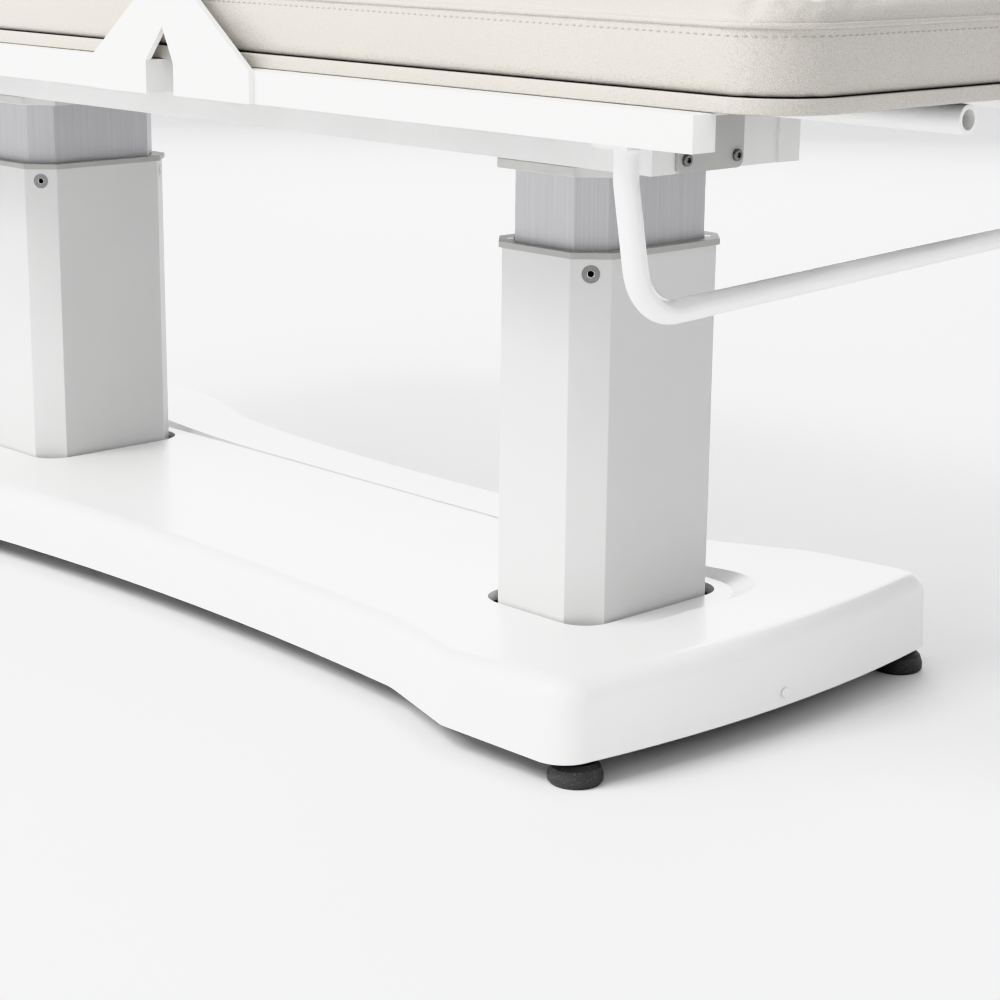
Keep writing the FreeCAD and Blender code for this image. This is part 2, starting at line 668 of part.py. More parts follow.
def drive_lug(pivot_x, toward, y, swing, gap):
    """Slotted plate welded under the first cross tube; its slot points at the pivot in mid-swing."""
    lean = math.radians(swing / 2)
    direction = V(-toward * math.sin(lean), 0, -math.cos(lean))
    across = V(direction.z, 0, -direction.x)
    drop = pivot_z - rod_z
    pivot = V(pivot_x, y - lug_thick / 2, pivot_z)
    top, bottom = pivot + direction * (drop - 1.5), pivot + direction * (drop / math.cos(lean) + 1.6)
    cross = pivot_x + toward * hinge_cross
    web = [top, bottom, V(cross + toward * cross_half, top.y, section_z[0]),
           V(cross - toward * cross_half, top.y, section_z[1] - 4)]
    thick = V(0, lug_thick, 0)
    lug = prism(web, thick).fuse(round_slot(top, bottom, across, pin_radius + gap + lug_rim, thick))
    tube = box(cross - cross_half, cross + cross_half, y - 20, y + 20, *section_z)
    return lug.cut(tube).cut(round_slot(top, bottom, across, pin_radius + gap, thick))


def cradle_sockets():
    """Two round tubes under the head end, each of which takes one pin of a face cradle."""
    z = (section_z[0] + section_z[1]) / 2
    start, end = head_cross_x + cross_half, table_end_x - 14
    tubes = []
    for y in (-cradle_y, cradle_y):
        tube = rod(cradle_outer, V(start, y, z), V(end, y, z))
        tubes.append(tube.cut(rod(cradle_bore, V(start + 5, y, z), V(end + 4, y, z))))
    return Part.makeCompound(tubes)


def seat_frame():
    x0, x1 = leg_pivot_x + seat_arm_end, back_pivot_x - seat_arm_end
    frame = section_frame(x0, x1, seat_tube_y, seat_cross_x, frame_z[1])
    arms = pivot_arms(back_pivot_x, -1, seat_arm_end, seat_tube_y[1], frame_z[1])
    arms += pivot_arms(leg_pivot_x, 1, seat_arm_end, seat_tube_y[1], frame_z[1])
    return fuse([frame] + arms)


def back_frame():
    crosses = (back_pivot_x + hinge_cross, bumper_x, head_cross_x)
    frame = section_frame(back_pivot_x + 10, wing_end_x, wing_tube_y, crosses, section_z[0])
    arms = pivot_arms(back_pivot_x, 1, wing_arm_end, wing_tube_y[1], section_z[0])
    return fuse([frame, drive_lug(back_pivot_x, 1, back_drive_y, back_swing, back_slot_gap)] + arms)


def leg_frame():
    crosses = (-wing_end_x, -bumper_x, leg_pivot_x - hinge_cross)
    frame = section_frame(-wing_end_x - 25, leg_pivot_x - 10, wing_tube_y, crosses, section_z[0])
    arms = pivot_arms(leg_pivot_x, -1, wing_arm_end, wing_tube_y[1], section_z[0])
    return fuse([frame, drive_lug(leg_pivot_x, -1, leg_drive_y, leg_swing, leg_slot_gap)] + arms)


def hinge_pins(pivot_x):
    """Two pins with flat heads through the arms, each with a washer between the arms."""
    inner, outer = seat_tube_y[1] - 2, wing_tube_y[1] + arm_thick
    gap = (seat_tube_y[1] + arm_thick + 0.2, wing_tube_y[1] - 0.2)

    def disc(radius, side, y0, y1):
        return rod(radius, V(pivot_x, side * y0, pivot_z), V(pivot_x, side * y1, pivot_z))

    pins = []
    for side in (1, -1):
        head = disc(11, side, outer + 0.2, outer + 5)
        head = head.makeFillet(1.5, [e for e in head.Edges if abs(e.CenterOfMass.y) > outer + 4.5])
        pins.append(fuse([disc(pin_radius, side, inner, outer + 1), head, disc(10, side, *gap)]))
    return Part.makeCompound(pins)


def section_block(x0, x1, half_y, z0, z1, outer_radius, inner_radius):
    """Block with large corners where the table ends and small ones where two sections meet."""
    block = box(x0, x1, -half_y, half_y, z0, z1)
    for edge_x in (x0, x1):
        radius = outer_radius if abs(edge_x) > table_end_x - 20 else inner_radius
        block = block.makeFillet(radius, [e for e in vertical_edges(block) if abs(e.CenterOfMass.x - edge_x) < 0.5])
    return block


def panel(x0, x1):
    return section_block(x0, x1, pad_half_y - 7, *panel_z, pad_corner - 6, 20)


def pad(x0, x1):
    """Upholstered block with rounded edges above and tighter ones below."""
    block = section_block(x0, x1, pad_half_y, *pad_z, pad_corner, 24)
    block = block.makeFillet(6, [e for e in block.Edges if e.BoundBox.ZMax < pad_z[0] + 0.1])
    return block.makeFillet(pad_rim, [e for e in block.Edges if e.BoundBox.ZMin > pad_z[1] - 0.1])


def face_opening():
    """Long rounded well through the head end."""
    x, y = face_half
    return rounded_plate(face_x - x, face_x + x, -y, y, panel_z[0] - 9, pad_z[1] + 9, face_corner)


def back_pad():
    cushion = pad(back_pivot_x + 1.5, table_end_x).cut(face_opening())
    top = [e for e in cushion.Edges if e.BoundBox.ZMin > pad_z[1] - 1]
    return cushion.makeFillet(14, [e for e in top if abs(e.CenterOfMass.x - face_x) < face_half[0] + 1
                                   and abs(e.CenterOfMass.y) < face_half[1] + 1])


# Drives

def pin_offset(swing):
    """Distance from the pivot to the pin along X at each end of the swing."""
    return (pivot_z - rod_z) * math.tan(math.radians(swing / 2))


def actuator(pin_x, toward, length, y):
    """Housing with a guide nose and the bore for its rod, just behind the rod's fork."""
    front = pin_x - toward * (fork_back + 1.9)
    x0, x1 = sorted((front - toward * length, front - toward * 22))
    case = box(x0, x1, y - 20, y + 20, bar_z[1], rod_z + 18.5)
    case = case.makeFillet(5, [e for e in case.Edges if e.BoundBox.XLength > 1])
    nose = rod(16, V(front - toward * 24, y, rod_z), V(front, y, rod_z))
    nose = nose.makeFillet(2, [e for e in nose.Edges if abs(e.CenterOfMass.x - front) < 0.5])
    bore = rod(rod_radius + 0.05, V(front + toward, y, rod_z), V(front - toward * rod_length, y, rod_z))
    return case.fuse(nose).cut(bore)


def push_rod(pin_x, toward, y):
    """Round rod with a fork and the cross pin that runs in the lug's slot."""
    shaft = rod(rod_radius, V(pin_x - toward * rod_length, y, rod_z), V(pin_x - toward * fork_front, y, rod_z))
    xa, xb = sorted((pin_x - toward * fork_back, pin_x - toward * fork_front))
    bridge = box(xa, xb, y - 12, y + 12, rod_z - 12, rod_z + 12)
    inside = lug_thick / 2 + 1.5
    cheeks = []
    for ya, yb in ((y - 12, y - inside), (y + inside, y + 12)):
        xa, xb = sorted((pin_x - toward * (fork_front + 1), pin_x))
        cheek = box(xa, xb, ya, yb, rod_z - 11, rod_z + 11)
        cheeks.append(cheek.fuse(rod(11, V(pin_x, ya, rod_z), V(pin_x, yb, rod_z))))
    pin = rod(pin_radius, V(pin_x, y - 14, rod_z), V(pin_x, y + 14, rod_z))
    return fuse([shaft, bridge, pin] + cheeks)


# Paper-roll bar

def bent_wire(points, radius):
    """Straight runs joined by arcs of one radius."""
    edges, last = [], points[0]
    for before, corner, after in zip(points, points[1:], points[2:]):
        a, b = (before - corner).normalize(), (after - corner).normalize()
        half = a.getAngle(b) / 2
        back = radius / math.tan(half)
        start, end = corner + a * back, corner + b * back
        middle = corner + (a + b).normalize() * (radius / math.sin(half) - radius)
        edges += [Part.makeLine(last, start), Part.Arc(start, middle, end).toShape()]
        last = end
    edges.append(Part.makeLine(last, points[-1]))
    return Part.Wire(edges)


def roll_holder():
    top = section_z[1] - 4
    path = [(-socket_y, top), (-socket_y, right_knee_z), (-right_bend[0], right_bend[1]),
            left_bend, (socket_y, left_knee_z), (socket_y, top)]
    path = [V(holder_x, y, z) for y, z in path]
    wire = bent_wire(path, holder_bend)
    tubes = []
    for radius in (holder_radius, holder_radius - holder_wall):
        circle = Part.Wire(Part.makeCircle(radius, path[0], V(0, 0, -1)))
        tubes.append(wire.makePipeShell([circle], True, True))
    return tubes[0].cut(tubes[1])


def roll_sockets():
    """Two blocks on the side tubes with an upright bore for the bar and a cross hole for a screw."""
    outer = wing_tube_y[0] - 0.1
    inner = outer - socket_width
    blocks = []
    for side in (1, -1):
        ya, yb = sorted((side * inner, side * outer))
        block = box(holder_x - 18, holder_x + 18, ya, yb, socket_z, section_z[1])
        block = block.makeFillet(4, [e for e in vertical_edges(block) if abs(e.CenterOfMass.y) < inner + 5])
        block = block.cut(post(holder_radius + 0.05, holder_x, side * socket_y, socket_z - 70, section_z[1] + 90))
        start, end = V(holder_x, side * (inner - 15), knob_z), V(holder_x, side * (inner + 10), knob_z)
        blocks.append(block.cut(rod(4.05, start, end)))
    return Part.makeCompound(blocks)


def thumb_screws():
    inner = wing_tube_y[0] - 0.1 - socket_width
    tip = socket_y - holder_radius - 0.1
    screws = []
    for side in (1, -1):
        knob = rod(12, V(holder_x, side * (inner - 17), knob_z), V(holder_x, side * (inner - 5), knob_z))
        knob = knob.makeFillet(2.5, [e for e in knob.Edges if abs(e.CenterOfMass.y) < inner - 16])
        shank = rod(4, V(holder_x, side * (inner - 6), knob_z), V(holder_x, side * tip, knob_z))
        screws.append(knob.fuse(shank))
    return Part.makeCompound(screws)


# Export

back_pin_x = back_pivot_x - pin_offset(back_swing)
leg_pin_x = leg_pivot_x + pin_offset(leg_swing)
nodes = {
    "base_chassis": base_chassis(),
    "base_cover": base_cover(),
    "cover_screws": cover_screws(),
    "column_plate_bolts": column_plate_bolts(),
    "collar_screws": collar_screws(),
    "tube_screws": tube_screws(),
    "top_plate_bolts": top_plate_bolts(),
    "lift_frame": lift_frame(),
    "end_bracket": end_bracket(),
    "end_bracket_screws": end_bracket_screws(),
    "rest_bumpers": rest_bumpers(),
    "control_box": control_box(),
    "mains_inlet": mains_inlet(),
    "seat_frame": seat_frame(),
    "seat_panel": panel(leg_pivot_x + 5, back_pivot_x - 5),
    "seat_pad": pad(leg_pivot_x + 1.5, back_pivot_x - 1.5),
    "back_frame": back_frame(),
    "cradle_sockets": cradle_sockets(),
    "back_panel": panel(back_pivot_x + 5, table_end_x - 6).cut(face_opening()),
    "back_pad": back_pad(),
    "leg_frame": leg_frame(),
    "leg_panel": panel(6 - table_end_x, leg_pivot_x - 5),
    "leg_pad": pad(-table_end_x, leg_pivot_x - 1.5),
    "back_hinge_pins": hinge_pins(back_pivot_x),
    "leg_hinge_pins": hinge_pins(leg_pivot_x),
    "back_actuator": actuator(back_pin_x, 1, back_drive_length, back_drive_y),
    "back_rod": push_rod(back_pin_x, 1, back_drive_y),
    "leg_actuator": actuator(leg_pin_x, -1, leg_drive_length, leg_drive_y),
    "leg_rod": push_rod(leg_pin_x, -1, leg_drive_y),
    "roll_holder": roll_holder(),
    "roll_sockets": roll_sockets(),
    "thumb_screws": thumb_screws(),
}
column_parts = {
    "column_plate": column_plate,
    "outer_tube": outer_tube,
    "collar": collar,
    "upper_glide": upper_glide,
    "lower_glide": lower_glide,
    "inner_tube": inner_tube,
    "top_plate": top_plate,
    "gear_motor": gear_motor,
    "spindle": spindle,
    "spindle_nut": spindle_nut,
}
for name, build in column_parts.items():
    nodes[name + "_head"] = moved(build(), column_x)
    nodes[name + "_foot"] = moved(build(), -column_x)
for end, x in (("head", foot_x), ("foot", -foot_x)):
    for side, y in (("left", foot_y), ("right", -foot_y)):
        nodes["levelling_pad_%s_%s" % (end, side)] = moved(foot_pad(), x, y)
        nodes["levelling_stud_%s_%s" % (end, side)] = moved(foot_stud(), x, y)

for name, shape in nodes.items():
    if not shape.isValid():
        print("not valid:", name)
    shape.exportStep("parts/%s.step" % name)
print(len(nodes), "parts written")
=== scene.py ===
# %% [markdown]
# # A massage table, dressed over its CAD frame
# The CAD model already holds every rigid part of the table at its real size: the base with its
# cover, two lifting columns, the frames, hinges, drives and the bent bar. This notebook gives those
# parts their finishes and makes the pieces that CAD leaves plain, above all the upholstery.
# All lengths are in metres, +X is the head end, +Z is up, and the floor is at zero.

# %% Load the frame
import math
import bpy
import bmesh
from mathutils import Matrix, Vector
from mathutils.bvhtree import BVHTree


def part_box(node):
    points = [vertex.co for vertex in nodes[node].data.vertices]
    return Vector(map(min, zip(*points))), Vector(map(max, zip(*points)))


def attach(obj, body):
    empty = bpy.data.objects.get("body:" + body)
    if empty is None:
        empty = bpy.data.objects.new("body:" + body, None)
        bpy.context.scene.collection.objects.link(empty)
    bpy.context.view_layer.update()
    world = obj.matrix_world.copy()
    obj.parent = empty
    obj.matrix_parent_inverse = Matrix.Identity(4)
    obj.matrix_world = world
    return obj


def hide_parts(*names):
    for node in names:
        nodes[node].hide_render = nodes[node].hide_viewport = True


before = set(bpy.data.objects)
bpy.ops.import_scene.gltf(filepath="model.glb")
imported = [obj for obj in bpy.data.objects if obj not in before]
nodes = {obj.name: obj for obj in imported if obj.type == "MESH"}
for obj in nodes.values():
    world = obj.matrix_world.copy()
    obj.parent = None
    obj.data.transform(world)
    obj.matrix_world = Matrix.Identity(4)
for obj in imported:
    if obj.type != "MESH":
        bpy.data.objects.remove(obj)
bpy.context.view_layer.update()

# %% [markdown]
# ## Camera
# The picture to match was taken from the head end's right-hand side, a little above the top of the
# columns. The place and angles below come from a least-squares fit to the columns' edges, so the
# camera is placed by numbers and not by eye. The focal length is in pixels of a 1000 pixel frame.

# %% Camera
camera_place = Vector((2.0238, -1.6593, 0.7681))
yaw, pitch, roll = 0.768, 0.2532, -0.011
focal_pixels = 2386.0

forward = Vector((-math.cos(yaw) * math.cos(pitch), math.sin(yaw) * math.cos(pitch), -math.sin(pitch)))
right = Vector((math.sin(yaw), math.cos(yaw), 0))
down = forward.cross(right)
turned_right = math.cos(roll) * right + math.sin(roll) * down
turned_down = math.cos(roll) * down - math.sin(roll) * right

lens = bpy.data.cameras.new("camera")
lens.sensor_width = 36
lens.lens = lens.sensor_width * focal_pixels / 1000
camera = bpy.data.objects.new("camera", lens)
camera.matrix_world = Matrix.Translation(camera_place) @ Matrix(
    (turned_right, -turned_down, -forward)).transposed().to_4x4()
bpy.context.scene.collection.objects.link(camera)
bpy.context.scene.camera = camera
print("lens:", round(lens.lens, 1), "mm")

# %% [markdown]
# ## Lamps
# A product studio has a pale sweep and large soft lamps. One large lamp stands at the front left
# and high, because the faces towards -Y are the bright ones and the head end's faces are a step
# darker. A weaker lamp opens the shadows on that side, one stands behind and one hangs above.
# Area lamps were chosen because their size alone sets how soft a shadow is.

# %% Lamps
def area_lamp(name, place, aim, size, power):
    lamp = bpy.data.lights.new(name, "AREA")
    lamp.shape = "RECTANGLE"
    lamp.size, lamp.size_y = size
    lamp.energy = power
    holder = bpy.data.objects.new(name, lamp)
    facing = (Vector(aim) - Vector(place)).to_track_quat("-Z", "Y").to_matrix().to_4x4()
    holder.matrix_world = Matrix.Translation(place) @ facing
    bpy.context.scene.collection.objects.link(holder)
    print("lamp:", name, power, "W")


area_lamp("key", (-0.9, -3.5, 3.9), (0.2, 0, 0.3), (3.0, 2.4), 225)
area_lamp("fill", (3.6, 0.2, 2.0), (0.3, 0, 0.4), (2.0, 2.0), 9)
area_lamp("back", (-2.6, 3.2, 2.0), (0, 0, 0.1), (3.2, 2.0), 50)
area_lamp("top", (0, 0.3, 4.2), (0, 0, 0), (3.5, 2.5), 16)

# %% [markdown]
# ## Surroundings
# White walls throw light back from all sides. Here they are the world: two gradients on the
# direction of the light, one brighter towards the foot end and one brighter near the floor, are
# multiplied. The view transform is the neutral one, which keeps white paint white without burning
# it out.

# %% Surroundings
def fading(tree, value, start, low, high):
    node = tree.nodes.new("ShaderNodeMapRange")
    node.inputs["From Min"].default_value = start
    node.inputs["To Min"].default_value = low
    node.inputs["To Max"].default_value = high
    tree.links.new(value, node.inputs["Value"])
    return node.outputs["Result"]


world = bpy.data.worlds.new("studio")
world.use_nodes = True
sky = world.node_tree
toward = sky.nodes.new("ShaderNodeTexCoord")
axes = sky.nodes.new("ShaderNodeSeparateXYZ")
sky.links.new(toward.outputs["Generated"], axes.inputs["Vector"])
both = sky.nodes.new("ShaderNodeMath")
both.operation = "MULTIPLY"
sky.links.new(fading(sky, axes.outputs["X"], -0.6, 1.6, 0.88), both.inputs[0])
sky.links.new(fading(sky, axes.outputs["Z"], 0.0, 1.1, 0.3), both.inputs[1])
sky.links.new(both.outputs["Value"], sky.nodes["Background"].inputs["Strength"])
sky.nodes["Background"].inputs["Color"].default_value = (0.97, 0.97, 0.98, 1)
bpy.context.scene.world = world
bpy.context.scene.view_settings.view_transform = "Khronos PBR Neutral"
print("view transform:", bpy.context.scene.view_settings.view_transform)

# %% [markdown]
# ## Building materials
# Each finish is a small node tree on the object's own coordinates, so a pattern keeps its real
# scale in metres and stays put in every view. Painted pictures would need unwrapped surfaces and
# would blur close up. A few helpers cover most finishes: a noise, a colour between two shades, a
# value between two limits and a bump.

# %% Material helpers
def finish(name, **sockets):
    """A new material and its shader, with plain values set on the shader's own sockets."""
    material = bpy.data.materials.new(name)
    material.use_nodes = True
    shader = material.node_tree.nodes["Principled BSDF"]
    for socket, value in sockets.items():
        shader.inputs[socket.replace("_", " ")].default_value = value
    return material, material.node_tree, shader


def place(tree, scale=(1, 1, 1)):
    """Object coordinates through a mapping, as the vector for a pattern."""
    source = tree.nodes.new("ShaderNodeTexCoord")
    mapping = tree.nodes.new("ShaderNodeMapping")
    mapping.inputs["Scale"].default_value = scale
    tree.links.new(source.outputs["Object"], mapping.inputs["Vector"])
    return mapping.outputs["Vector"]


def noise(tree, vector, scale, detail=3.0, roughness=0.5):
    node = tree.nodes.new("ShaderNodeTexNoise")
    node.inputs["Scale"].default_value = scale
    node.inputs["Detail"].default_value = detail
    node.inputs["Roughness"].default_value = roughness
    tree.links.new(vector, node.inputs["Vector"])
    return node.outputs["Fac"]


def cells(tree, vector, scale, output="Distance", **settings):
    """Small rounded cells, as in a mould's grain, a rolled dimple or a leather's pebbles."""
    node = tree.nodes.new("ShaderNodeTexVoronoi")
    if output == "Edge":
        node.feature = "DISTANCE_TO_EDGE"
    node.inputs["Scale"].default_value = scale
    for socket, value in settings.items():
        node.inputs[socket].default_value = value
    tree.links.new(vector, node.inputs["Vector"])
    return node.outputs["Distance"]


def shades(tree, factor, low, high, start=0.3, end=0.7):
    ramp = tree.nodes.new("ShaderNodeValToRGB")
    ramp.color_ramp.elements[0].position = start
    ramp.color_ramp.elements[1].position = end
    ramp.color_ramp.elements[0].color = (*low, 1)
    ramp.color_ramp.elements[1].color = (*high, 1)
    tree.links.new(factor, ramp.inputs["Fac"])
    return ramp.outputs["Color"]


def between(tree, factor, low, high, start=0.3, end=0.7):
    node = tree.nodes.new("ShaderNodeMapRange")
    node.inputs["From Min"].default_value = start
    node.inputs["From Max"].default_value = end
    node.inputs["To Min"].default_value = low
    node.inputs["To Max"].default_value = high
    tree.links.new(factor, node.inputs["Value"])
    return node.outputs["Result"]


def add_bump(tree, shader, height, distance, strength=1.0):
    """One more layer of relief, on top of any that the shader has."""
    node = tree.nodes.new("ShaderNodeBump")
    node.inputs["Strength"].default_value = strength
    node.inputs["Distance"].default_value = distance
    tree.links.new(height, node.inputs["Height"])
    if shader.inputs["Normal"].is_linked:
        tree.links.new(shader.inputs["Normal"].links[0].from_socket, node.inputs["Normal"])
    tree.links.new(node.outputs["Normal"], shader.inputs["Normal"])


def dressed(names, material):
    """Gives CAD nodes a finish; their slots are filled and their meshes stay as they are."""
    for name in names.split():
        mesh = nodes[name].data
        mesh.materials.clear()
        mesh.materials.append(material)
    print(material.name, "on", len(names.split()), "nodes")


# %% [markdown]
# ## Moulded white cover
# The base cover is injection-moulded plastic, glossy but never a mirror: its skin has a very faint
# orange peel and its gloss drifts a little from place to place. A thin clear coat would be the
# usual way to get gloss; here it is weak, because the real cover shows no sharp reflections.

# %% Cover plastic
cover_plastic, tree, shader = finish("cover_plastic", Coat_Weight=0.25, Coat_Roughness=0.12)
at = place(tree)
tree.links.new(shades(tree, noise(tree, at, 3.5), (0.83, 0.83, 0.822), (0.855, 0.855, 0.85)),
               shader.inputs["Base Color"])
tree.links.new(between(tree, noise(tree, at, 9), 0.33, 0.39), shader.inputs["Roughness"])
add_bump(tree, shader, noise(tree, at, 110, 1), 0.00003)
dressed("base_cover cover_screws", cover_plastic)

# %% [markdown]
# ## Painted metal
# The outer tubes have a grey satin paint, the collars and top plates are a beige grey, and the
# frames, sockets and bent bar are white. Baked powder paint has a fine texture of its own, so each
# shade gets a small grain, a slow drift in colour and another in gloss, from one helper.

# %% Painted metal
def painted(name, low, high, roughness, grain=700, depth=0.00003, coat=0.0):
    material, tree, shader = finish(name, Coat_Weight=coat, Coat_Roughness=0.1)
    at = place(tree)
    tree.links.new(shades(tree, noise(tree, at, 5), low, high), shader.inputs["Base Color"])
    tree.links.new(between(tree, noise(tree, at, 14), roughness - 0.05, roughness + 0.06),
                   shader.inputs["Roughness"])
    add_bump(tree, shader, noise(tree, at, grain, 2), depth)
    return material


column_paint = painted("column_paint", (0.65, 0.65, 0.645), (0.675, 0.675, 0.67), 0.42)
collar_paint = painted("collar_paint", (0.42, 0.415, 0.40), (0.45, 0.445, 0.43), 0.45)
plate_paint = painted("plate_paint", (0.61, 0.605, 0.59), (0.65, 0.645, 0.63), 0.45)
frame_paint = painted("frame_paint", (0.85, 0.85, 0.84), (0.88, 0.88, 0.87), 0.4)
bar_paint = painted("bar_paint", (0.84, 0.84, 0.84), (0.87, 0.87, 0.87), 0.2, 400, 0.00002, coat=0.5)
bracket_paint = painted("bracket_paint", (0.50, 0.50, 0.49), (0.54, 0.54, 0.53), 0.4)
chassis_paint = painted("chassis_paint", (0.03, 0.03, 0.032), (0.045, 0.045, 0.047), 0.55)
dressed("outer_tube_head outer_tube_foot", column_paint)
dressed("collar_head collar_foot", collar_paint)
dressed("top_plate_head top_plate_foot", plate_paint)
dressed("lift_frame seat_frame back_frame leg_frame roll_sockets cradle_sockets", frame_paint)
dressed("roll_holder", bar_paint)
dressed("end_bracket", bracket_paint)
dressed("base_chassis column_plate_head column_plate_foot", chassis_paint)

# %% [markdown]
# ## Bare metal
# The inner tubes are extruded aluminium with fine lines along their length, the rods are zinc
# plated, the motors are cast and the nuts are brass. Scratches that run one way come from a noise
# that is stretched along them: the mapping squeezes one axis, and colour, gloss and relief all
# read the same lines.

# %% Bare metal
def bare_metal(name, low, high, roughness, stretch, scale, depth, metallic=1.0):
    material, tree, shader = finish(name, Metallic=metallic)
    lines = noise(tree, place(tree, stretch), scale, 4)
    tree.links.new(shades(tree, lines, low, high), shader.inputs["Base Color"])
    tree.links.new(between(tree, lines, roughness - 0.07, roughness + 0.08), shader.inputs["Roughness"])
    add_bump(tree, shader, lines, depth)
    return material


upright, even, lengthwise = (1, 1, 0.006), (1, 1, 1), (0.02, 1, 1)
inner_metal = bare_metal("inner_metal", (0.47, 0.47, 0.485), (0.55, 0.55, 0.565), 0.42, upright, 900,
                         0.00003, metallic=0.5)
stainless = bare_metal("stainless", (0.52, 0.52, 0.51), (0.60, 0.60, 0.59), 0.28, even, 500, 0.00001)
screw_steel = bare_metal("screw_steel", (0.22, 0.22, 0.22), (0.29, 0.29, 0.285), 0.27, even, 800, 0.00001)
zinc = bare_metal("zinc", (0.45, 0.46, 0.47), (0.60, 0.61, 0.62), 0.34, lengthwise, 700, 0.00002)
cast = bare_metal("cast", (0.16, 0.165, 0.17), (0.24, 0.245, 0.25), 0.55, even, 300, 0.0002)
brass = bare_metal("brass", (0.55, 0.38, 0.14), (0.70, 0.50, 0.20), 0.3, even, 300, 0.00002)
dressed("inner_tube_head inner_tube_foot", inner_metal)
dressed("collar_screws top_plate_bolts column_plate_bolts back_hinge_pins leg_hinge_pins", stainless)
dressed(" ".join(name for name in nodes if name.startswith("levelling_stud")), stainless)
dressed("tube_screws end_bracket_screws", screw_steel)
dressed("spindle_head spindle_foot back_rod leg_rod", zinc)
dressed("gear_motor_head gear_motor_foot", cast)
dressed("spindle_nut_head spindle_nut_foot", brass)

# %% [markdown]
# ## Where the corner screws sit
# Countersunk socket screws in the cut corners hold each tube's glides. They show well in the
# picture, so their heads are made again with more detail. The CAD model has all of them in one
# mesh, and this helper sorts its points into separate screws, so that no place is typed in.

# %% Find the screws
def screw_islands(node):
    shape = bmesh.new()
    shape.from_mesh(nodes[node].data)
    bmesh.ops.remove_doubles(shape, verts=shape.verts, dist=0.00001)
    left, islands = set(shape.verts), []
    while left:
        grown, island = [left.pop()], []
        while grown:
            vertex = grown.pop()
            island.append(vertex.co.copy())
            for edge in vertex.link_edges:
                other = edge.other_vert(vertex)
                if other in left:
                    left.remove(other)
                    grown.append(other)
        islands.append(island)
    shape.free()
    return islands


corner_screws = sorted(screw_islands("tube_screws"),
                       key=lambda island: [round(v, 3) for v in sum(island, Vector()) / len(island)])
print("corner screws:", len(corner_screws))

# %% [markdown]
# ## Their heads
# A head is one disc, inset and pushed in step by step. Its rim is rounded, and the edge of the hexagon
# socket is bright steel, partly worn by the key and partly a painted highlight for the light its chamfer
# catches. The socket is painted near black: painted shade for the dark inside a deep, narrow hole.
# Cutting the socket with a boolean would work too, but would leave no clean ring of faces for the
# bright edge.

# %% Screw heads
# The ring round the socket is bright steel: partly wear from the key, partly a painted highlight for the light
# its chamfer catches.
worn_and_highlight_steel = bare_metal("worn_and_highlight_steel", (0.80, 0.80, 0.79), (0.90, 0.90, 0.89), 0.2, even, 900, 0.00001)
# Painted shade: the socket's walls and floor are near black to stand in for the dark inside a deep, narrow
# hole.
painted_socket_shade = painted("painted_socket_shade", (0.004, 0.004, 0.004), (0.012, 0.012, 0.012), 0.8, 600, 0.00005)
rim_steps = ((0.00015, 0.0008), (0.0003, 0.0003), (0.0006, 0.0002))
# Slot 1 is the bright ring (wear and painted highlight); slot 2 is the socket's painted shade.
socket_steps = ((0.0004, 0.0003, 1), (0.0006, -0.0006, 1), (0.00005, -0.0035, 2))
key_radius = 0.0029
column_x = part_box("outer_tube_head")
column_x = (column_x[0].x + column_x[1].x) / 2


def socket_head(shape, centre, outward, radius):
    turn = outward.to_track_quat("Z", "Y").to_matrix().to_4x4()
    head = bmesh.ops.create_circle(shape, segments=48, radius=radius, cap_ends=True,
                                   matrix=Matrix.Translation(centre - 0.0010 * outward) @ turn)
    disc = head["verts"][0].link_faces[0]
    for thickness, depth in rim_steps:
        bmesh.ops.inset_region(shape, faces=[disc], thickness=thickness, depth=0, use_even_offset=True)
        bmesh.ops.translate(shape, verts=disc.verts, vec=outward * depth)
    rim = list(disc.edges)
    bmesh.ops.delete(shape, geom=[disc], context="FACES_ONLY")
    hexagon = bmesh.ops.create_circle(shape, segments=6, radius=key_radius + 0.0011, cap_ends=True,
                                      matrix=Matrix.Translation(centre + 0.0003 * outward) @ turn)
    socket = hexagon["verts"][0].link_faces[0]
    bmesh.ops.bridge_loops(shape, edges=rim + list(socket.edges))
    for thickness, depth, slot in socket_steps:
        walls = bmesh.ops.inset_region(shape, faces=[socket], thickness=thickness, depth=0)
        bmesh.ops.translate(shape, verts=socket.verts, vec=outward * depth)
        for wall in walls["faces"]:
            wall.material_index = slot
    socket.material_index = 2


heads = bmesh.new()
for island in corner_screws:
    middle = sum(island, Vector()) / len(island)
    column = math.copysign(column_x, middle.x)
    outward = Vector((math.copysign(1, middle.x - column), math.copysign(1, middle.y), 0)).normalized()
    face = max(point.dot(outward) for point in island)
    outer = [point for point in island if point.dot(outward) > face - 0.0001]
    centre = sum(outer, Vector()) / len(outer)
    socket_head(heads, centre, outward, max((point - centre).length for point in outer))
mesh = bpy.data.meshes.new("tube_screw_heads")
heads.to_mesh(mesh)
heads.free()
for material in (screw_steel, worn_and_highlight_steel, painted_socket_shade):
    mesh.materials.append(material)
screw_heads = bpy.data.objects.new("tube_screw_heads", mesh)
bpy.context.scene.collection.objects.link(screw_heads)
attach(screw_heads, "base")
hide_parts("tube_screws")
print("screw heads:", len(mesh.polygons), "faces")

# %% [markdown]
# ## Rubber
# The feet and bumpers are black rubber with pale specks of ground filler, as recycled rubber has.
# The specks are the middles of small cells, which gives separate dots where a noise gives clouds.

# %% Rubber
rubber, tree, shader = finish("rubber", Roughness=0.6)
at = place(tree)
tree.links.new(shades(tree, cells(tree, at, 420), (0.26, 0.26, 0.25), (0.05, 0.05, 0.051), 0.10, 0.17),
               shader.inputs["Base Color"])
add_bump(tree, shader, noise(tree, at, 500, 4), 0.0001)
dressed("rest_bumpers " + " ".join(name for name in nodes if name.startswith("levelling_pad")), rubber)

# %% [markdown]
# ## Plastics
# The control box, the drives and the mains inlet are dark plastic from a grained mould, and the
# glide rings are natural nylon. The grain is the relief of cells about a millimetre across.

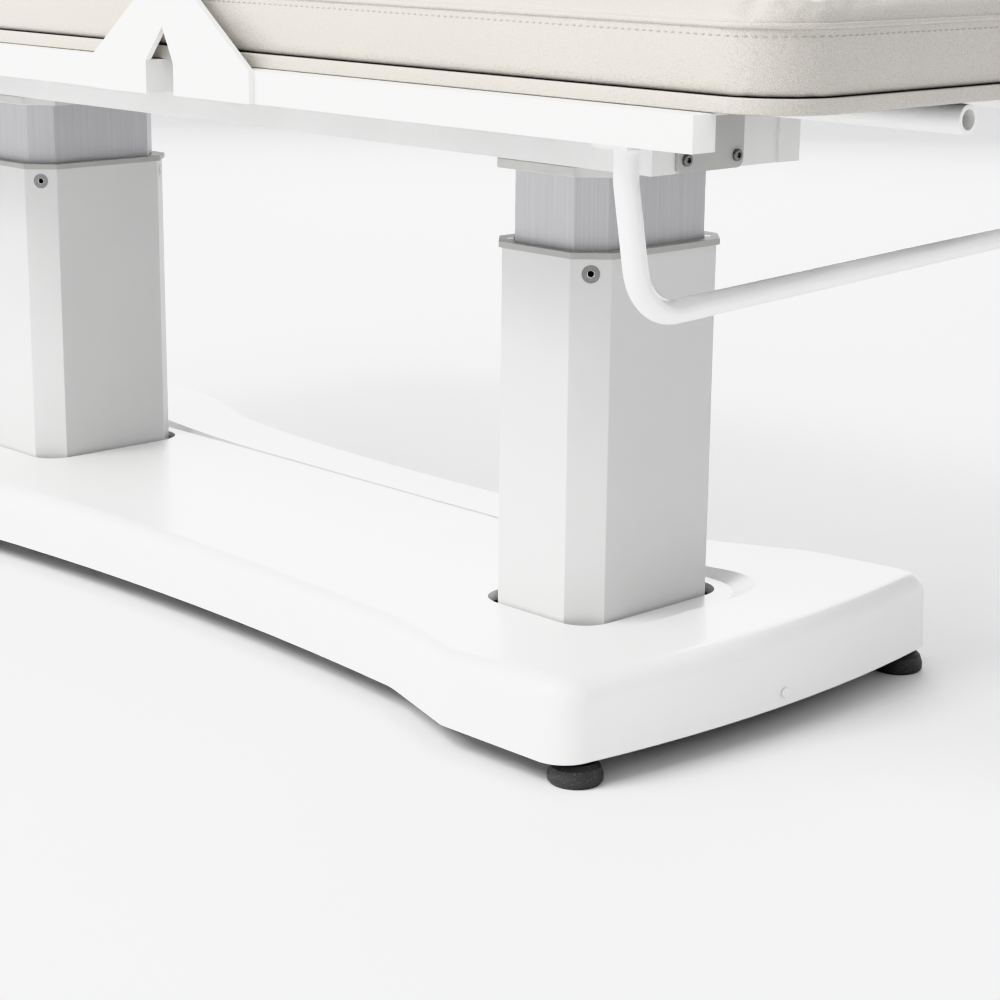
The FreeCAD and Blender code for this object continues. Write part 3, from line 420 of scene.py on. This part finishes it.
# %% Plastics
def grained(name, low, high, roughness, grain=900, depth=0.0001):
    material, tree, shader = finish(name, Roughness=roughness)
    at = place(tree)
    tree.links.new(shades(tree, noise(tree, at, 20), low, high), shader.inputs["Base Color"])
    add_bump(tree, shader, cells(tree, at, grain), depth, 0.6)
    return material


box_plastic = grained("box_plastic", (0.035, 0.036, 0.038), (0.05, 0.051, 0.053), 0.55)
glide_nylon = grained("glide_nylon", (0.66, 0.65, 0.60), (0.72, 0.71, 0.66), 0.4)
dressed("control_box back_actuator leg_actuator mains_inlet thumb_screws", box_plastic)
dressed("upper_glide_head upper_glide_foot lower_glide_head lower_glide_foot", glide_nylon)

# %% [markdown]
# ## Lining cloth
# The boards under the pads are covered below with a dark bonded cloth, stapled on to hide the
# wood. Its fibres lie at random, and the rollers that bond it leave even dimples, so one fine
# noise and one nearly regular layer of cells make it. A weave would be wrong here.

# %% Lining cloth
lining, tree, shader = finish("lining", Roughness=0.85, Sheen_Weight=0.1)
at = place(tree)
fibres = noise(tree, at, 900, 6, 0.7)
tree.links.new(shades(tree, fibres, (0.10, 0.10, 0.105), (0.17, 0.17, 0.175)), shader.inputs["Base Color"])
add_bump(tree, shader, fibres, 0.00015)
add_bump(tree, shader, cells(tree, at, 420, Randomness=0.15), 0.0002, 0.6)
dressed("seat_panel back_panel leg_panel", lining)

# %% [markdown]
# ## Synthetic leather
# The pads are covered in a soft off-white synthetic leather. Its relief is pressed in by a roller:
# rounded pebbles about a millimetre and a half across, with darker and duller creases between
# them. The distance to the edge of a cell gives just that, and a slow noise adds the slight waves
# of leather over foam.

# %% Synthetic leather
vinyl, tree, shader = finish("vinyl", Sheen_Weight=0.06, Sheen_Roughness=0.4, Coat_Weight=0.05)
at = place(tree)
creases = between(tree, cells(tree, at, 620, "Edge"), 0.0, 1.0, 0.0, 0.16)
valleys = tree.nodes.new("ShaderNodeMixRGB")
valleys.inputs["Color1"].default_value = (0.47, 0.45, 0.41, 1)
tree.links.new(creases, valleys.inputs["Fac"])
tree.links.new(shades(tree, noise(tree, at, 7), (0.58, 0.555, 0.515), (0.62, 0.595, 0.555)),
               valleys.inputs["Color2"])
tree.links.new(valleys.outputs["Color"], shader.inputs["Base Color"])
tree.links.new(between(tree, creases, 0.58, 0.44, 0.0, 1.0), shader.inputs["Roughness"])
add_bump(tree, shader, creases, 0.00012)
add_bump(tree, shader, noise(tree, at, 45, 3), 0.0004, 0.5)
print("leather nodes:", len(tree.nodes))

# %% [markdown]
# ## Thread
# The stitches are a thick polyester thread, a shade darker than the leather. Its twist is far
# smaller than a stitch, so a very fine noise stands for it.

# %% Thread
thread, tree, shader = finish("thread", Roughness=0.6, Sheen_Weight=0.2)
twist = noise(tree, place(tree), 1500, 2)
tree.links.new(shades(tree, twist, (0.40, 0.38, 0.34), (0.50, 0.48, 0.44)), shader.inputs["Base Color"])
add_bump(tree, shader, twist, 0.0001)
print("thread nodes:", len(tree.nodes))

# %% [markdown]
# ## The three sections
# A seat pad stays level on the lifting frame, a back pad with the face opening tilts at the head
# end, and a leg pad tilts at the foot end. Corners are small at the hinges and large at the
# table's ends. The seam runs 30 mm below the top of each pad, where the side meets the rounding.

# %% Sections
seam_height = 0.672
draw_in = 0.0055
sections = {
    "seat": {"body": "lift", "corners": (0.024, 0.024), "hinges": (-0.2985, 0.2505)},
    "back": {"body": "back_section", "corners": (0.024, 0.070), "hinges": (0.2535,)},
    "leg": {"body": "leg_section", "corners": (0.070, 0.024), "hinges": (-0.3015,)},
}
face_opening = {"x": 0.800, "half_x": 0.110, "half_y": 0.068, "corner": 0.060}
for section in sections:
    low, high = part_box(section + "_pad")
    print(section, "pad:", [round(v, 3) for v in high - low])

# %% [markdown]
# ## Copies of the pads, drawn in
# A block with rounded edges would look hard. Each CAD pad is therefore copied and remeshed into
# even squares that cloth can use. The copy is drawn in by a few millimetres, because it will swell
# again, but not at the bottom, which lies on the board.

# %% Draw the pads in
def applied(piece):
    """Keeps what the modifiers make of a piece, and removes them."""
    made = bpy.data.meshes.new_from_object(piece.evaluated_get(bpy.context.evaluated_depsgraph_get()))
    piece.modifiers.clear()
    piece.data = made


def remeshed(name, node, voxel=0.008):
    mesh = bpy.data.meshes.new(name)
    shape = bmesh.new()
    shape.from_mesh(nodes[node].data)
    bmesh.ops.remove_doubles(shape, verts=shape.verts, dist=0.00002)
    shape.to_mesh(mesh)
    shape.free()
    piece = bpy.data.objects.new(name, mesh)
    bpy.context.scene.collection.objects.link(piece)
    voxels = piece.modifiers.new("voxels", "REMESH")
    voxels.mode = "VOXEL"
    voxels.voxel_size = voxel
    applied(piece)
    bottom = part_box(node)[0].z + 0.002
    moves = [vertex.normal * (-draw_in) for vertex in piece.data.vertices]
    for vertex, move in zip(piece.data.vertices, moves):
        vertex.co += Vector((move.x, move.y, 0)) if vertex.co.z < bottom else move
    return piece


pads = {section: remeshed(section + "_cushion", section + "_pad") for section in sections}
print("points:", {section: len(pad.data.vertices) for section, pad in pads.items()})

# %% [markdown]
# ## Foam under its cover
# The foam pushes the cover out, the seam all round holds it in, and the lower edge is pulled down
# to the board. So the seam and the lower edge are pinned, and cloth under pressure swells for 20
# steps. How far each point may go is limited softly, and more so beside a hinge, where two pads
# meet. Moving points outwards by a formula would be quicker, but would lose the pull at the seam.

# %% Swell the covers
def swollen(piece, held, reach):
    rest = [vertex.co.copy() for vertex in piece.data.vertices]
    pins = piece.vertex_groups.new(name="held")
    pins.add([i for i, point in enumerate(rest) if held(point, piece.data.vertices[i].normal)], 1.0, "REPLACE")
    cloth = piece.modifiers.new("cover", "CLOTH")
    cloth.settings.vertex_group_mass = "held"
    cloth.settings.use_pressure = True
    cloth.settings.uniform_pressure_force = 4
    cloth.settings.tension_stiffness = 30
    cloth.settings.compression_stiffness = 30
    cloth.settings.bending_stiffness = 3
    cloth.settings.effector_weights.gravity = 0
    for step in range(1, 21):
        bpy.context.scene.frame_set(step)
    applied(piece)
    farthest = 0
    for vertex, start in zip(piece.data.vertices, rest):
        move = vertex.co - start
        limit = reach(start)
        if move.length > 1e-6:
            move *= limit * math.tanh(move.length / limit) / move.length
        farthest = max(farthest, move.length)
        vertex.co = start + move
    bpy.context.scene.frame_set(1)
    return farthest


for section, pad in pads.items():
    low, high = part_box(section + "_pad")

    def held(point, normal):
        near_seam = abs(point.z - seam_height) < 0.0045 and abs(normal.z) < 0.5
        return near_seam or point.z < low.z + 0.006

    def reach(point):
        share = min(1.0, min(abs(point.x - x) for x in sections[section]["hinges"]) / 0.09)
        return 0.0035 + 0.0085 * share * share * (3 - 2 * share)

    farthest = swollen(pad, held, reach)
    for vertex in pad.data.vertices:
        vertex.co.x = min(max(vertex.co.x, low.x + 0.0002), high.x - 0.0002)
    print(section, "cover swells up to", round(1000 * farthest, 1), "mm")

# %% [markdown]
# ## Finished pads
# One level of subdivision rounds the squares off. Each pad rides on its section and stands for the CAD
# pad.

# %% Finish the pads
for section, pad in pads.items():
    smooth = pad.modifiers.new("smooth", "SUBSURF")
    smooth.levels = smooth.render_levels = 1
    pad.data.materials.clear()
    pad.data.materials.append(vinyl)
    for face in pad.data.polygons:
        face.use_smooth = True
    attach(pad, sections[section]["body"])
    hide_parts(section + "_pad")
print("pads:", [pad.name for pad in pads.values()])

# %% [markdown]
# ## Outlines
# Piping, stitches and the board's edge band all follow a rectangle with rounded corners. One
# helper gives its points, so that the three stay in step with one another.

# %% Outlines round a pad
def rounded_loop(x0, x1, half_y, radius_low, radius_high, steps=10):
    """Points round a rectangle whose corners have one radius at low X and another at high X."""
    corners = [(x1, half_y, radius_high, 0), (x0, half_y, radius_low, 90),
               (x0, -half_y, radius_low, 180), (x1, -half_y, radius_high, 270)]
    points = []
    for x, y, radius, start in corners:
        middle = Vector((x - math.copysign(radius, x - (x0 + x1) / 2), y - math.copysign(radius, y), 0))
        for step in range(steps + 1):
            turn = math.radians(start + 90 * step / steps)
            points.append(middle + radius * Vector((math.cos(turn), math.sin(turn), 0)))
    return points


def grown_loop(section, node, grow, tighter=0.0):
    """The outline of a section's pad or board, grown outwards, or drawn in where grow is negative."""
    low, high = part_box(section + node)
    near, far = [corner + grow - tighter for corner in sections[section]["corners"]]
    return rounded_loop(low.x - grow, high.x + grow, high.y + grow, near, far)


def opening_loop(grow):
    """The outline of the face opening, grown outwards."""
    middle, corner = face_opening["x"], face_opening["corner"]
    half_x, half_y = face_opening["half_x"] + grow, face_opening["half_y"] + grow
    return rounded_loop(middle - half_x, middle + half_x, half_y, corner, corner)


seams = {section: grown_loop(section, "_pad", -draw_in) for section in sections}
seams["hole"] = opening_loop(draw_in)
print("points in each seam:", {name: len(points) for name, points in seams.items()})

# %% [markdown]
# ## Piping
# Piping is a cord wrapped in the same leather and sewn into the seam, so that the seam wears
# well. A round bevel on a closed curve gives it in one step, and it follows every corner.

# %% Piping
def added(name, mesh, material, body):
    """Puts a finished mesh into the scene as a piece that rides on a CAD body."""
    mesh.materials.clear()
    mesh.materials.append(material)
    for face in mesh.polygons:
        face.use_smooth = True
    piece = bpy.data.objects.new(name, mesh)
    bpy.context.scene.collection.objects.link(piece)
    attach(piece, body)
    return piece


def cord_round(name, points, height, radius, body, flat=0.0):
    """A closed cord along the points; with flat it becomes a band of that half height."""
    curve = bpy.data.curves.new(name, "CURVE")
    curve.dimensions = "2D"
    curve.fill_mode = "NONE"
    curve.bevel_depth = radius
    curve.bevel_resolution = 3
    curve.extrude = flat
    line = curve.splines.new("POLY")
    line.points.add(len(points) - 1)
    for spot, point in zip(line.points, points):
        spot.co = (point.x, point.y, 0, 1)
    line.use_cyclic_u = True
    holder = bpy.data.objects.new(name, curve)
    bpy.context.scene.collection.objects.link(holder)
    mesh = bpy.data.meshes.new_from_object(holder.evaluated_get(bpy.context.evaluated_depsgraph_get()))
    bpy.data.objects.remove(holder)
    mesh.transform(Matrix.Translation((0, 0, height)))
    return added(name, mesh, vinyl, body)


piping_radius = 0.0024
for section in sections:
    cord_round(section + "_piping", seams[section], seam_height, piping_radius, sections[section]["body"])
cord_round("back_hole_piping", seams["hole"], seam_height, piping_radius, "back_section")
print("piping:", 2000 * piping_radius, "mm thick")

# %% [markdown]
# ## Stitches
# A row of stitches 7 mm below the piping holds its seam allowance flat. Each stitch is a small
# stretched ball laid on the swollen cover: the nearest point of the cover gives its place, and
# the cover's normal its tilt.

# %% Stitches
stitch_pitch = 0.0072
stitch_size = (0.0026, 0.0007, 0.0008)


def even_points(points, pitch):
    """Equally spaced places along a closed outline, each with its direction."""
    lengths = [(b - a).length for a, b in zip(points, points[1:] + points[:1])]
    count = round(sum(lengths) / pitch)
    spots, along, index = [], 0.0, 0
    for number in range(count):
        target = number * sum(lengths) / count
        while along + lengths[index] < target:
            along += lengths[index]
            index += 1
        a, b = points[index], points[(index + 1) % len(points)]
        spots.append((a.lerp(b, (target - along) / lengths[index]), (b - a).normalized()))
    return spots


def stitches_round(name, pad, points, height, body):
    cover = BVHTree.FromObject(pad, bpy.context.evaluated_depsgraph_get())
    shape = bmesh.new()
    spots = even_points(points, stitch_pitch)
    for spot, direction in spots:
        place_on, normal, index, distance = cover.find_nearest(Vector((spot.x, spot.y, height)))
        across = normal.cross(direction).normalized()
        turn = Matrix((direction, across, direction.cross(across))).transposed().to_4x4()
        bmesh.ops.create_uvsphere(shape, u_segments=6, v_segments=5, radius=1, matrix=Matrix.Translation(
            place_on) @ turn @ Matrix.Diagonal((*stitch_size, 1)))
    mesh = bpy.data.meshes.new(name)
    shape.to_mesh(mesh)
    shape.free()
    added(name, mesh, thread, body)
    print(name + ":", len(spots))


for section, pad in pads.items():
    stitches_round(section + "_stitches", pad, seams[section], seam_height - 0.0075, sections[section]["body"])
stitches_round("back_hole_stitches", pads["back"], seams["hole"], seam_height - 0.0075, "back_section")

# %% [markdown]
# ## Edge bands
# The edge of each board is closed with a strip of the same leather, stapled from below. It is the
# board's own outline a millimetre larger, made by the cord helper with a flat bevel. All three
# boards lie at one height.

# %% Edge bands
band_radius, band_half = 0.0012, 0.0048
low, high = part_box("seat_panel")
band_z = (low.z + high.z) / 2 + 0.0002
for section in sections:
    board = grown_loop(section, "_panel", 0.001, tighter=0.007)
    cord_round(section + "_edge_band", board, band_z, band_radius, sections[section]["body"], band_half)
cord_round("back_hole_band", opening_loop(-0.001), band_z, band_radius, "back_section", band_half)
print("band height:", round(2000 * (band_half + band_radius), 1), "mm")

# %% [markdown]
# ## Floor
# The floor is plain and pale, with only enough variation to take a soft contact shadow. It is one
# large square.

# %% Floor
floor_finish, tree, shader = finish("floor_finish", Roughness=0.7)
tree.links.new(shades(tree, noise(tree, place(tree), 0.8), (0.91, 0.91, 0.91), (0.93, 0.93, 0.93)),
               shader.inputs["Base Color"])
floor_mesh = bpy.data.meshes.new("floor")
shape = bmesh.new()
bmesh.ops.create_grid(shape, x_segments=1, y_segments=1, size=40)
shape.to_mesh(floor_mesh)
shape.free()
floor_mesh.materials.append(floor_finish)
floor = bpy.data.objects.new("floor", floor_mesh)
bpy.context.scene.collection.objects.link(floor)
print("floor:", [round(v, 1) for v in floor.dimensions[:2]], "m")
